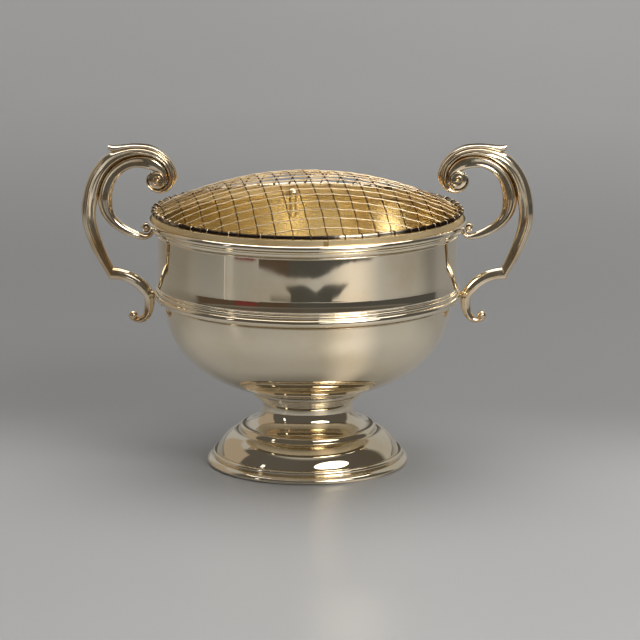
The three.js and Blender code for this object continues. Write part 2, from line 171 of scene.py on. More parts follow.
class Form:
    """A closed mesh in the making, in millimetres."""

    def __init__(self) -> None:
        """Starts with nothing."""
        self.bm = bmesh.new()

    def turn(self, outline: Sequence[Point]) -> "Form":
        """Spins a closed outline of (radius, height) points right round the upright axis.

        Args:
            outline: the points in order.

        Returns:
            This form.
        """
        verts = [self.bm.verts.new((r, 0.0, z)) for r, z in outline]
        edges = [self.bm.edges.new(pair) for pair in zip(verts, verts[1:] + verts[:1])]
        bmesh.ops.spin(
            self.bm, geom=verts + edges, cent=(0, 0, 0), axis=(0, 0, 1), angle=tau, steps=TURN_STEPS,
            use_merge=True,
        )
        return self

    def sweep(self, place: Callable[[float, float], Vector], around: int, along: int) -> "Form":
        """Wraps a grid round a path, merges its seam and fills its ends.

        Args:
            place: gives the point for a share of the turn and a share of the way.
            around: how many faces go round.
            along: how many faces go along.

        Returns:
            This form.
        """
        grid = bmesh.ops.create_grid(self.bm, x_segments=around, y_segments=along, size=0.5)["verts"]
        span = max(vert.co.x for vert in grid)
        for vert in grid:
            vert.co = place(0.5 + vert.co.x / (2 * span), 0.5 + vert.co.y / (2 * span))
        bmesh.ops.remove_doubles(self.bm, verts=grid, dist=1e-4)
        self.close()
        return self

    def tube(self, path: Sequence[Vector], radius: float, sides: int) -> "Form":
        """Sweeps a round section along a path without twisting it.

        Args:
            path: the points of the centre line.
            radius: the tube's radius.
            sides: how many faces go round.

        Returns:
            This form.
        """
        last = len(path) - 1
        tangents = headings(path)
        normals = [tangents[0].orthogonal().normalized()]
        for before, after in zip(tangents, tangents[1:]):
            normals.append(before.rotation_difference(after) @ normals[-1])

        def place(turn: float, way: float) -> Vector:
            """Gives a point of the tube's skin."""
            i = round(way * last)
            angle = tau * turn
            across = tangents[i].cross(normals[i])
            return path[i] + radius * (cos(angle) * normals[i] + sin(angle) * across)

        return self.sweep(place, sides, last)

    def ball(self, eye: Point, radius: float, half_depth: float) -> "Form":
        """Adds a ball whose depth across the handle differs from its radius.

        Args:
            eye: its centre, outwards and up.
            radius: its radius seen from the front.
            half_depth: half its depth from front to back.

        Returns:
            This form.
        """
        verts = bmesh.ops.create_uvsphere(self.bm, u_segments=32, v_segments=20, radius=radius)["verts"]
        bmesh.ops.scale(self.bm, vec=(1, half_depth / radius, 1), verts=verts)
        bmesh.ops.translate(self.bm, vec=(eye[0], 0, eye[1]), verts=verts)
        return self

    def disc(self, eye: Point, radius: float, half_depth: float) -> "Form":
        """Adds a flat disc with rounded edges that faces the front.

        Args:
            eye: its centre, outwards and up.
            radius: its radius.
            half_depth: half its thickness.

        Returns:
            This form.
        """
        verts = bmesh.ops.create_cone(
            self.bm, cap_ends=True, segments=64, radius1=radius, radius2=radius, depth=2 * half_depth
        )["verts"]
        edges = dict.fromkeys(edge for vert in verts for edge in vert.link_edges)
        rims = [edge for edge in edges if edge.verts[0].co.z * edge.verts[1].co.z > 0]
        rounded = bmesh.ops.bevel(
            self.bm, geom=rims, offset=0.5, offset_type="OFFSET", segments=3, profile=0.5,
            affect="EDGES", material=-1,
        )["verts"]
        verts = list(dict.fromkeys([vert for vert in verts if vert.is_valid] + rounded))
        bmesh.ops.rotate(self.bm, cent=(0, 0, 0), matrix=Matrix.Rotation(pi / 2, 3, "X"), verts=verts)
        bmesh.ops.translate(self.bm, vec=(eye[0], 0, eye[1]), verts=verts)
        return self

    def cut(self, through: Point, along: Point, keep: float) -> "Form":
        """Cuts the form near a point with a plane that stands on a line seen from the front, and closes it.

        Args:
            through: the point, outwards and up.
            along: the line's direction.
            keep: 1 to keep what lies to the left of the line, and -1 for the right.

        Returns:
            This form.
        """
        centre = Vector((through[0], 0, through[1]))
        faces = [face for face in self.bm.faces if (face.calc_center_median() - centre).length < CUT_REACH]
        parts = dict.fromkeys(part for face in faces for part in (*face.verts, *face.edges))
        bmesh.ops.bisect_plane(
            self.bm, geom=[*parts, *faces], plane_co=centre, plane_no=(along[1] * keep, 0, -along[0] * keep),
            clear_outer=True,
        )
        self.close()
        return self

    def close(self) -> None:
        """Fills every open edge loop."""
        edges = [edge for edge in self.bm.edges if edge.is_boundary]
        if edges:
            bmesh.ops.holes_fill(self.bm, edges=edges, sides=0)

    def spun(self, degrees: float) -> "Form":
        """Turns the whole form about the upright axis and returns it."""
        turn = Matrix.Rotation(radians(degrees), 3, "Z")
        bmesh.ops.rotate(self.bm, cent=(0, 0, 0), matrix=turn, verts=self.bm.verts[:])
        return self


@dataclass
class Finisher:
    """Makes finished pieces of forms, and keeps their metals and names."""

    metals: dict["MetalFinish", bpy.types.Material] = field(default_factory=dict)
    made: list[str] = field(default_factory=list)

    def metal(self, finish: "MetalFinish") -> bpy.types.Material:
        """Gives a finish's material, made at its first use."""
        if finish not in self.metals:
            self.metals[finish] = finish.material()
        return self.metals[finish]

    def piece(
        self,
        form: Form,
        name: str,
        body: Body,
        slot: Slot,
        nodes: Sequence[str],
        crease: float = 38,
        lining: Callable[[bmesh.types.BMFace], bool] | None = None,
        finish: "MetalFinish | None" = None,
    ) -> None:
        """Turns a form into a piece of the object that stands for its CAD nodes.

        Args:
            form: the closed mesh, in millimetres.
            name: the piece's name.
            body: the CAD body that it rides on.
            slot: the record's material slot.
            nodes: the CAD nodes that it replaces.
            crease: edges sharper than this many degrees stay sharp.
            lining: says which faces are gilt instead.
            finish: its finish, or None for the slot's own.
        """
        bm = form.bm
        bmesh.ops.remove_doubles(bm, verts=bm.verts[:], dist=1e-4)
        bmesh.ops.dissolve_degenerate(bm, dist=1e-5, edges=bm.edges[:])
        bmesh.ops.recalc_face_normals(bm, faces=bm.faces[:])
        if lining:
            for face in bm.faces:
                face.material_index = int(lining(face))
        bmesh.ops.scale(bm, vec=(MM, MM, MM), verts=bm.verts[:])
        finishes = [finish or SLOT_FINISH[slot]] + ([GILDING] if lining else [])
        obj = skin(bm, name, *(self.metal(one) for one in finishes))
        obj.data.set_sharp_from_angle(angle=radians(crease))
        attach(obj, body.value)
        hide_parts(*nodes)
        self.made.append(name)
        LOG.info("%s: %d faces, rides on %s", name, len(obj.data.polygons), body.value)


class Sum:
    """A shader socket that Python's operators can work on."""

    def __init__(self, board: "Board", socket: Socket) -> None:
        """Keeps an output socket and the board that new nodes go on."""
        self.board = board
        self.socket = socket

    def _math(self, operation: str, first: "Sum | float", second: "Sum | float" = 0.0) -> "Sum":
        """Adds a Math node and returns its output."""
        node = self.board.node("ShaderNodeMath", {"operation": operation}, {0: first, 1: second})
        return Sum(self.board, node.outputs[0])

    def __add__(self, other: "Sum | float") -> "Sum":
        """Adds."""
        return self._math("ADD", self, other)

    def __radd__(self, other: float) -> "Sum":
        """Adds to a number."""
        return self._math("ADD", other, self)

    def __sub__(self, other: "Sum | float") -> "Sum":
        """Subtracts."""
        return self._math("SUBTRACT", self, other)

    def __rsub__(self, other: float) -> "Sum":
        """Subtracts from a number."""
        return self._math("SUBTRACT", other, self)

    def __mul__(self, other: "Sum | float") -> "Sum":
        """Multiplies."""
        return self._math("MULTIPLY", self, other)

    def __rmul__(self, other: float) -> "Sum":
        """Multiplies a number."""
        return self._math("MULTIPLY", other, self)

    def root(self) -> "Sum":
        """Gives the square root."""
        return self._math("SQRT", self)

    def size(self) -> "Sum":
        """Gives the absolute value."""
        return self._math("ABSOLUTE", self)

    def around(self, other: "Sum") -> "Sum":
        """Gives the angle of (other, self) round the origin."""
        return self._math("ARCTAN2", self, other)

    def near(self, centre: float, outer: float, inner: float) -> "Sum":
        """Rises from 0 to 1 as this value comes from outer to inner of a centre."""
        return (self - centre).size().ramp(outer, inner)

    def ramp(self, low: float, high: float, start: float = 0.0, end: float = 1.0) -> "Sum":
        """Eases from one value to another as this one goes from low to high.

        Args:
            low: where it starts to change.
            high: where it is done, which may also lie under low.
            start: value on low's side.
            end: value on high's side.

        Returns:
            The eased value.
        """
        if low > high:
            low, high, start, end = high, low, end, start
        node = self.board.node(
            "ShaderNodeMapRange",
            {"interpolation_type": "SMOOTHSTEP"},
            {"Value": self, "From Min": low, "From Max": high, "To Min": start, "To Max": end},
        )
        return Sum(self.board, node.outputs["Result"])


class Board:
    """A node tree that is being wired."""

    def __init__(self, owner: bpy.types.Material | bpy.types.World) -> None:
        """Clears the node tree of a material or the world."""
        owner.use_nodes = True
        self.tree = owner.node_tree
        self.tree.nodes.clear()

    def node(self, kind: str, settings: dict, inputs: dict) -> bpy.types.Node:
        """Adds a node, sets it up and then feeds its sockets.

        Args:
            kind: the node's type.
            settings: the node's own properties.
            inputs: number, colour, link or wrapped socket for each socket's name or number.

        Returns:
            The node.
        """
        made = self.tree.nodes.new(kind)
        for key, value in settings.items():
            setattr(made, key, value)
        for key, value in inputs.items():
            if isinstance(value, Sum):
                value = value.socket
            if isinstance(value, Socket):
                self.tree.links.new(value, made.inputs[key])
            else:
                made.inputs[key].default_value = (*value, 1.0) if isinstance(value, tuple) else value
        return made

    def coordinate(self, kind: str = "Object") -> Socket:
        """Gives one output of Texture Coordinate."""
        return self.node("ShaderNodeTexCoord", {}, {}).outputs[kind]

    def axes(self, kind: str = "Object") -> tuple[Sum, Sum, Sum]:
        """Gives X, Y and Z of a texture coordinate."""
        split = self.node("ShaderNodeSeparateXYZ", {}, {0: self.coordinate(kind)})
        return tuple(Sum(self, out) for out in split.outputs)

    def vector(self, x: "Sum | float", y: "Sum | float", z: "Sum | float") -> Socket:
        """Puts three values together as a vector."""
        return self.node("ShaderNodeCombineXYZ", {}, {0: x, 1: y, 2: z}).outputs[0]

    def ray(self, kind: str) -> Sum:
        """Says if a ray is of one kind, such as Is Camera Ray."""
        return Sum(self, self.node("ShaderNodeLightPath", {}, {}).outputs[kind])

    def cloud(self, scale: float, detail: float, where: Socket | None = None) -> Sum:
        """Adds a noise pattern.

        Args:
            scale: how fine it is, in waves a metre.
            detail: how many finer layers it has.
            where: the coordinate, or None for the object's own.

        Returns:
            The noise, from 0 to 1.
        """
        if where is None:
            where = self.coordinate()
        inputs = {"Vector": where, "Scale": scale, "Detail": detail, "Roughness": 0.6}
        return Sum(self, self.node("ShaderNodeTexNoise", {}, inputs).outputs[0])

    def blend(self, share: "Sum | float", first: Tint, second: Tint) -> Socket:
        """Mixes two colours, with a share of the second."""
        return self.node("ShaderNodeMix", {"data_type": "RGBA"}, {0: share, 6: first, 7: second}).outputs[2]

    def glowing(self, share: Sum, under: Socket, tint: Tint) -> Socket:
        """Lays a share of plain glow over a shader."""
        glow = self.node("ShaderNodeEmission", {}, {"Color": tint, "Strength": 1.0}).outputs[0]
        return self.node("ShaderNodeMixShader", {}, {0: share, 1: under, 2: glow}).outputs[0]


@dataclass(frozen=True)
class MetalFinish:
    """A polished or gilt metal with tarnish, haze, soft dents and hairline scratches.

    Scales are in waves a metre, and dents and hairlines are heights in metres.
    """

    name: str
    clean: Colour
    tarnish: Colour
    tarnish_scale: float
    roughness: float
    haze: float = 0.1
    tarnish_amount: float = 1.0
    dent: float = 0.00003
    hairline: float = 0.0000003
    edge_tint: Colour = (1.0, 1.0, 1.0)
    blackened: float = 0.0
    speck_fineness: float = 14.0
    haze_scale: float = 46.0
    dent_scale: float = 17.0
    ripple_scale: float = 60.0
    ripple_share: float = 0.12
    hairline_scales: tuple[float, float, float] = (8.1, 5200.0, 900.0)

    def stain(self, board: Board, x: Sum, y: Sum) -> Sum:
        """Spreads the tarnish in patches, and blackens the front left of a ring.

        Args:
            board: the material's board.
            x: its X coordinate.
            y: its Y coordinate.

        Returns:
            How tarnished it is, from 0 to 1.
        """
        stain = board.cloud(self.tarnish_scale, 5).ramp(0.42, 0.72) * self.tarnish_amount
        if not self.blackened:
            return stain
        # Blackens part of a ring's front, as much as blackened says.
        front_blackening = y.ramp(0.0, -0.05) * x.ramp(-0.09, -0.07) * (1 - x.near(0.036, 0.026, 0.012))
        return (stain * (1 - front_blackening) + front_blackening * self.blackened).ramp(0.0, 1.0)

    def material(self) -> bpy.types.Material:
        """Builds the material and returns it."""
        made = bpy.data.materials.new(self.name)
        board = Board(made)
        x, y, z = board.axes()
        stain = self.stain(board, x, y)
        specks = board.cloud(self.tarnish_scale * self.speck_fineness, 3).ramp(0.62, 0.8)
        colour = board.blend(stain, self.clean, self.tarnish)
        colour = board.blend(specks * (0.25 * self.tarnish_amount), colour, self.tarnish)
        turn, height, out = self.hairline_scales
        spun = board.vector(y.around(x) * turn, z * height, (x * x + y * y).root() * out)
        hairs = board.cloud(1.0, 2, spun)
        rough = self.roughness + board.cloud(self.haze_scale, 4).ramp(0.35, 0.75) * self.haze
        rough = rough + stain * (self.haze * 0.6) + hairs.ramp(0.55, 0.8) * (self.haze * 0.5)
        relief = board.cloud(self.dent_scale, 1) * self.dent
        relief = relief + board.cloud(self.ripple_scale, 1) * (self.dent * self.ripple_share)
        relief = relief + hairs * self.hairline
        bump = board.node("ShaderNodeBump", {}, {"Height": relief, "Strength": 1.0, "Distance": 1.0})
        shader = board.node("ShaderNodeBsdfPrincipled", {}, {
            "Base Color": colour, "Metallic": 1.0, "Roughness": rough, "Normal": bump.outputs["Normal"],
            "Specular Tint": self.edge_tint,
        })
        board.node("ShaderNodeOutputMaterial", {}, {"Surface": shader.outputs[0]})
        return made


POLISHED_SILVER = MetalFinish(
    "polished_silver", clean=(0.86, 0.765, 0.60), tarnish=(0.74, 0.60, 0.37), tarnish_scale=16,
    tarnish_amount=0.6, roughness=0.025, haze=0.014, hairline=0.0000001,
)
CAST_SILVER = MetalFinish(
    "cast_silver", clean=(0.84, 0.73, 0.56), tarnish=(0.62, 0.42, 0.22), tarnish_scale=34,
    roughness=0.09, haze=0.07, dent=0.00006,
)
GILT_WIRE = MetalFinish(
    "gilt_wire", clean=(0.59, 0.49, 0.35), tarnish=(0.38, 0.26, 0.16), tarnish_scale=60,
    tarnish_amount=0.9, roughness=0.12, haze=0.08, dent=0.00006, edge_tint=(0.78, 0.74, 0.58),
)
# A darker copy of the gilt wire for the cross layer: painted shade and dark reflections.
SHADED_CROSS_WIRE = MetalFinish(
    "shaded_cross_wire", clean=(0.15, 0.09, 0.05), tarnish=(0.035, 0.022, 0.015), tarnish_scale=160,
    roughness=0.28, dent=0.00006, edge_tint=(0.2, 0.14, 0.1),
)
# The ring wire: gilt, darkened in patches and blackened over part of its front.
DARKENED_RING = MetalFinish(
    "darkened_ring", clean=(0.62, 0.54, 0.42), tarnish=(0.03, 0.022, 0.018), tarnish_scale=130,
    roughness=0.2, dent=0.0001, edge_tint=(0.5, 0.45, 0.4), blackened=0.95,
)
GILDING = MetalFinish(
    "gilding", clean=(0.99, 0.86, 0.58), tarnish=(0.95, 0.74, 0.4), tarnish_scale=12,
    tarnish_amount=0.6, roughness=0.19, haze=0.02, dent=0.00002,
)
MATT_GILDING = MetalFinish(
    "matt_gilding", clean=(0.95, 0.78, 0.48), tarnish=(0.8, 0.58, 0.3), tarnish_scale=40,
    tarnish_amount=0.8, roughness=0.45,
)
SOLDER = MetalFinish(
    "gilt_solder", clean=(0.62, 0.44, 0.2), tarnish=(0.5, 0.33, 0.14), tarnish_scale=90,
    tarnish_amount=0.8, roughness=0.5,
)
SLOT_FINISH = {Slot.POLISHED: POLISHED_SILVER, Slot.CAST: CAST_SILVER, Slot.GILT: GILT_WIRE}


@dataclass
class Foot:
    """Foot ring, raised foot and stepped calyx, in millimetres."""

    ring_r: float = 63.7
    band_h: float = 4.4
    bead_r: float = 1.6
    bead_centre_r: float = 58.6
    skirt_r: float = 57.5
    dome_h: float = 13.0
    step_r: float = 43.1
    step_h: float = 3.6
    cove_h: float = 12.2
    neck_r: float = 28.5
    flare_r: float = 29.4
    sheet: float = 1.0
    calyx_r: float = 34.6
    calyx_bore_r: float = 24.0
    calyx_rise: float = 4.9
    calyx_steps: int = 4

    def ring(self) -> Form:
        """Turns the plain band and the bead above it."""
        r, h = self.ring_r, self.band_h
        back, bead_z = self.skirt_r + 0.1, h + self.bead_r
        return Form().turn([
            (back, 0.0), (r - 2.2, 0.0), (r - 1.5, 0.35),
            *arc(r - 0.9, 1.25, 0.85, -100, -10, 6),
            *bend((r, 1.5), (r, 2.9), (r - 1.3, h - 0.9), (r - 2.4, h - 0.2), 10),
            (self.bead_centre_r + 0.9, h + 0.15),
            *arc(self.bead_centre_r, bead_z, self.bead_r, -58, 84, 12),
            (back, bead_z + self.bead_r - 0.3),
        ])

    def body(self) -> Form:
        """Turns skirt, dome, step, cove and neck as one thin sheet."""
        low, top = heights("foot")
        base = heights("foot_ring")[1]
        skirt, step_r, neck_r, flare, sheet = self.skirt_r, self.step_r, self.neck_r, self.flare_r, self.sheet
        step = base + self.dome_h
        tread = step + self.step_h
        neck = tread + self.cove_h
        return Form().turn([
            (skirt, low), (skirt, base - 0.2),
            *bend((skirt, base + 0.1), (skirt - 2.6, base + self.dome_h * 0.55), (step_r + 6.5, step - 0.6),
                  (step_r + 0.9, step + 0.05), 28),
            *arc(step_r + 0.9, step + 0.45, 0.4, 270, 200, 4),
            *bend((step_r + 0.4, step + 0.7), (step_r + 0.1, tread - 1.2), (step_r - 0.7, tread),
                  (step_r - 2.4, tread + 0.1), 12),
            *bend((step_r - 2.6, tread), (neck_r + 5.2, tread + self.cove_h * 0.12),
                  (neck_r + 0.3, tread + self.cove_h * 0.4), (neck_r, neck), 26)[1:],
            *bend((neck_r, neck), (neck_r, neck + 1.4), (flare - 0.5, top - 1.0), (flare, top), 10)[1:],
            (flare - sheet, top),
            *bend((neck_r - sheet, neck), (neck_r - sheet, tread + 4), (neck_r + 4.2, tread - 0.2),
                  (step_r - 2.6, tread - sheet), 14),
            (step_r - 0.8, step),
            *bend((step_r, step - sheet), (step_r + 5, step - 1.6), (skirt - 3.6, base + 6.5),
                  (skirt - sheet, base), 14),
            (skirt - sheet, low),
        ])

    def calyx(self) -> Form:
        """Turns the stepped ring under the belly."""
        low, high = heights("calyx")
        rise = self.calyx_rise / self.calyx_steps
        tread = (self.calyx_r - self.flare_r - 0.2) / self.calyx_steps
        steps: list[Point] = []
        for i in range(self.calyx_steps):
            centre_r = self.flare_r + 0.3 + tread * (i + 0.45)
            steps += arc(centre_r, low + rise * (i + 0.5), rise * 0.5, -85, 80, 7)
        return Form().turn([
            (self.calyx_bore_r, low), *steps, (self.calyx_r - 0.3, low + 5.2),
            (self.calyx_r + 0.1, high - 0.2), (self.calyx_bore_r, high - 2.4),
        ])

    def build(self, shop: Finisher) -> None:
        """Makes the three pieces."""
        for form, name, node in (
            (self.ring(), "foot_ring_band", "foot_ring"),
            (self.body(), "foot_raised", "foot"),
            (self.calyx(), "calyx_stepped", "calyx"),
        ):
            shop.piece(form, name, Body.VESSEL, Slot.POLISHED, [node])


@dataclass
class Vessel:
    """Bowl with its gilt inside, girdle and rim mouldings, in millimetres."""

    belly_r: float = 90.7
    belly_depth: float = 63.7
    fullness: float = 2.29
    wall_r: float = 94.2
    wall_flare: float = 0.45
    shoulder_h: float = 3.6
    sheet: float = 1.0
    bead_r: float = 2.4
    bead_h: float = 4.8
    reed_r: float = 1.1
    lip_r: float = 0.7
    rim_r: float = 100.0
    roll_r: float = 1.9
    mouth_r: float = 97.4
    ledge_r: float = 93.0
    ledge_h: float = 1.2

    def __post_init__(self) -> None:
        """Works out where the belly ends and where the wall starts and ends."""
        low, self.wall_top = heights("bowl")
        self.belly_top = low + self.belly_depth
        self.shoulder = self.belly_top + self.shoulder_h

    def belly(self, inset: float, steps: int = 44) -> list[Point]:
        """Gives the belly's profile from the axis outwards.

        Args:
            inset: how far inside the outer skin.
            steps: how many pieces it is cut into.

        Returns:
            The points.
        """
        points = []
        for i in range(steps + 1):
            angle = pi / 2 * (1 - i / steps)
            across = abs(cos(angle)) ** (2 / self.fullness)
            down = sin(angle) ** (2 / self.fullness)
            z = self.belly_top - (self.belly_depth - inset) * down
            points.append(((self.belly_r - inset) * across, z))
        points[0] = (0.0, points[0][1])
        return points

    def bowl(self) -> Form:
        """Turns belly, shoulder and wall, inside and out."""
        wall, shoulder, top = self.wall_r, self.shoulder, self.wall_top
        flared, inner = wall + self.wall_flare, wall - self.sheet
        return Form().turn([
            *self.belly(0),
            (wall, shoulder), (flared, shoulder + 3.4),
            *bend((flared, shoulder + 3.6), (wall + 0.18, shoulder + 6), (wall, shoulder + 8),
                  (wall, shoulder + 10.4), 12),
            (wall, top), (inner, top),
            *bend((inner, shoulder + 6), (inner, shoulder + 1), (self.belly_r - 0.6, shoulder - 1.5),
                  (self.belly_r - self.sheet, self.belly_top), 12)[:-1],
            *reversed(self.belly(self.sheet)),
        ])

    def girdle(self) -> Form:
        """Turns the girdle's fillets, main bead, reed and lip."""
        low, high = heights("girdle")
        belly, wall, bead_z = self.belly_r, self.wall_r, low + self.bead_h
        return Form().turn([
            (belly + 0.1, low), (belly + 0.9, low),
            *arc(belly + 0.7, low + 0.6, 0.6, -60, 80, 6),
            (belly + 0.9, low + 1.35),
            *bend((belly + 1.0, low + 1.5), (belly + 1.2, low + 2.2), (wall - 0.2, low + 1.9),
                  (wall + 0.7, low + 2.5), 6),
            *arc(wall - 0.1, bead_z, self.bead_r, -62, 72, 22),
            (wall + 0.55, bead_z + 2.5),
            *arc(wall + 0.35, bead_z + 3.65, self.reed_r, -75, 80, 12),
            (wall + 0.45, bead_z + 4.85),
            *arc(wall + 0.25, bead_z + 5.6, self.lip_r, -70, 85, 8),
            (wall + 0.05, high), (wall + 0.05, self.shoulder), (belly + 0.1, self.belly_top),
        ])

    def rim(self) -> Form:
        """Turns the rim's fillet, cyma and roll, its mouth and the ledge inside."""
        low, high = heights("rim")
        ledge, roll, wall = self.wall_top + 1.5, high - self.roll_r, self.wall_r
        return Form().turn([
            (wall + 0.05, low),
            *arc(wall + 0.5, low + 0.65, 0.6, -80, 60, 8),
            (wall + 0.75, low + 1.45),
            *bend((wall + 1.1, low + 1.6), (wall + 2.3, low + 1.8), (wall + 3.1, low + 2.8),
                  (wall + 3.2, low + 3.8), 10),
            (wall + 3.0, low + 4.05),
            *bend((wall + 3.1, low + 4.2), (wall + 3.3, low + 5.0), (wall + 4.3, low + 5.5),
                  (self.rim_r - 0.9, roll - 1.45), 10),
            *arc(self.rim_r - self.roll_r, roll, self.roll_r, -42, 112, 26),
            (self.mouth_r, high - 0.9), (self.mouth_r, ledge), (self.ledge_r, ledge),
            (self.ledge_r, ledge - self.ledge_h), (wall + 0.05, ledge - self.ledge_h),
        ])

    def inside(self, face: bmesh.types.BMFace) -> bool:
        """Says if a face of the bowl looks inwards."""
        middle = face.calc_center_median()
        inwards = face.normal.xy.dot(middle.xy) < 0 or face.normal.z > 0.3
        return inwards and middle.xy.length < self.wall_r - self.sheet / 2

    def mouth(self, face: bmesh.types.BMFace) -> bool:
        """Says if a face of the rim belongs to the mouth."""
        middle = face.calc_center_median()
        return middle.xy.length < self.mouth_r + 0.2 and middle.z > self.wall_top - 0.4

    def build(self, shop: Finisher) -> None:
        """Makes the three pieces."""
        for form, name, node, lining in (
            (self.bowl(), "bowl_raised", "bowl", self.inside),
            (self.girdle(), "girdle_moulding", "girdle", None),
            (self.rim(), "rim_moulding", "rim", self.mouth),
        ):
            shop.piece(form, name, Body.VESSEL, Slot.POLISHED, [node], lining=lining)


class Guide:
    """A smooth line through (outwards, up, width) knots, measured by its length."""

    def __init__(self, knots: Sequence[Knot], cuts: int = 14) -> None:
        """Draws the line.

        Args:
            knots: the points that it runs through.
            cuts: how many samples lie between two knots.
        """
        points = [Vector(k) for k in knots]
        gaps = [(b - a).xy.length for a, b in zip(points, points[1:])]
        slopes = [(points[1] - points[0]) / gaps[0]]
        for i in range(1, len(points) - 1):
            slopes.append((points[i + 1] - points[i - 1]) / (gaps[i - 1] + gaps[i]))
        slopes.append((points[-1] - points[-2]) / gaps[-1])
        self.points = [points[0]]
        for near, far, leave, arrive, gap in zip(points, points[1:], slopes, slopes[1:], gaps):
            pull = gap / 3
            run = interpolate_bezier(near, near + leave * pull, far - arrive * pull, far, cuts + 1)
            self.points += run[1:]
        self.knots = [i / cuts for i in range(len(self.points))]
        self.lengths = [0.0]
        for a, b in zip(self.points, self.points[1:]):
            self.lengths.append(self.lengths[-1] + (b - a).xy.length)
        self.normals = [Vector((-way.y, way.x)) for way in headings([point.xy for point in self.points])]

    def at(self, way: float) -> tuple[Vector, Vector, float]:
        """Reads the line at a share of its length.

        Args:
            way: from 0 at the start to 1 at the end.

        Returns:
            The point with its width, the unit normal to its left, and the knot number.
        """
        goal = way * self.lengths[-1]
        i = min(bisect_right(self.lengths, goal) - 1, len(self.points) - 2)
        share = (goal - self.lengths[i]) / (self.lengths[i + 1] - self.lengths[i])
        return (
            self.points[i].lerp(self.points[i + 1], share),
            self.normals[i].lerp(self.normals[i + 1], share).normalized(),
            between(self.knots[i], self.knots[i + 1], share),
        )


@dataclass(frozen=True)
class Bead:
    """A raised or sunk line along a casting."""

    half: float
    across: tuple[Point, ...]
    height: tuple[Point, ...]

    def rise(self, across: float, width: float, knot: float) -> float:
        """Gives what it adds to the depth at a share across a casting of a width, by the knot number."""
        off = (across - keyed(self.across, knot)) * width / self.half
        return keyed(self.height, knot) * cos(off * pi / 2) ** 2 if abs(off) < 1 else 0.0


@dataclass(frozen=True)
class Casting:
    """A bar cast to a guide edge, with a rounded section and beads along it."""

    knots: Sequence[Knot]
    side: int
    half_depths: tuple[Point, ...]
    squareness: tuple[Point, ...]
    beads: tuple[Bead, ...] = ()

    def form(self, around: int = 64, step: float = 0.9, into: Form | None = None) -> Form:
        """Sweeps the bar.

        Args:
            around: how many faces go round it.
            step: length of a face along it, in millimetres.
            into: the form to add it to, or None for a new one.

        Returns:
            The form.
        """
        guide = Guide(self.knots)

        def place(turn: float, way: float) -> Vector:
            """Gives a point of the bar's skin."""
            point, normal, knot = guide.at(way)
            angle = tau * turn
            across = 0.5 - 0.5 * cos(angle)
            lift = abs(sin(angle))
            depth = keyed(self.half_depths, knot) * lift ** keyed(self.squareness, knot)
            depth += sum(bead.rise(across, point.z, knot) for bead in self.beads) * min(1.0, lift * 2.5)
            spot = point.xy + normal * (self.side * across * point.z)
            return Vector((spot.x, copysign(depth, sin(angle)), spot.y))

        along = max(8, round(guide.lengths[-1] / step))
        return (into or Form()).sweep(place, around, along)


